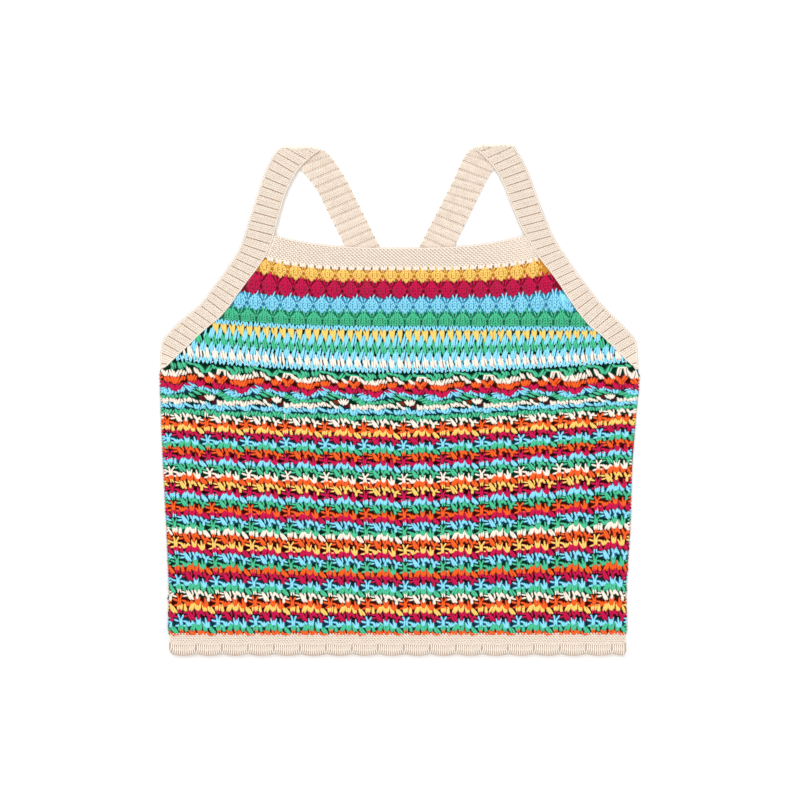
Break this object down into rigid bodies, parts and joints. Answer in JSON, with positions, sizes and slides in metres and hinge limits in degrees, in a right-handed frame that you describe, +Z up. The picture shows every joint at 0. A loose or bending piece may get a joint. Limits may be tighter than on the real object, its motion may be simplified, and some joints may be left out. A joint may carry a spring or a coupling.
{
  "type": "cropped knit vest with crossed shoulder straps",
  "caption": "Sleeveless cropped knit vest laid flat: striped bobble, mesh, chevron and lace front, cream neckband, folded rib straps that cross behind, scalloped hem.",
  "frame": {"origin": "middle of the garment's outline, on the surface that it lies on", "axes": "+X to the right seen from above with the neck up, +Y towards the straps, +Z up out of the front"},
  "size_m": [0.4036, 0.4324, 0.0075],
  "materials": {
    "striped_knit": "matte cotton-blend knit in stripes of six yarn colours",
    "cream_knit": "matte cream cotton-blend rib and garter knit",
    "yarn_yellow": "matte plied cotton-blend yarn, yellow",
    "yarn_magenta": "matte plied cotton-blend yarn, magenta",
    "yarn_blue": "matte plied cotton-blend yarn, light blue",
    "yarn_green": "matte plied cotton-blend yarn, green",
    "yarn_orange": "matte plied cotton-blend yarn, orange"
  },
  "bodies": {
    "root": {"front_panel": "striped_knit", "back_panel": "striped_knit", "front_neckband": "cream_knit", "back_band": "cream_knit", "strap_left": "cream_knit", "strap_right": "cream_knit", "hem_front": "cream_knit", "hem_back": "cream_knit"}
  },
  "joints": []
}
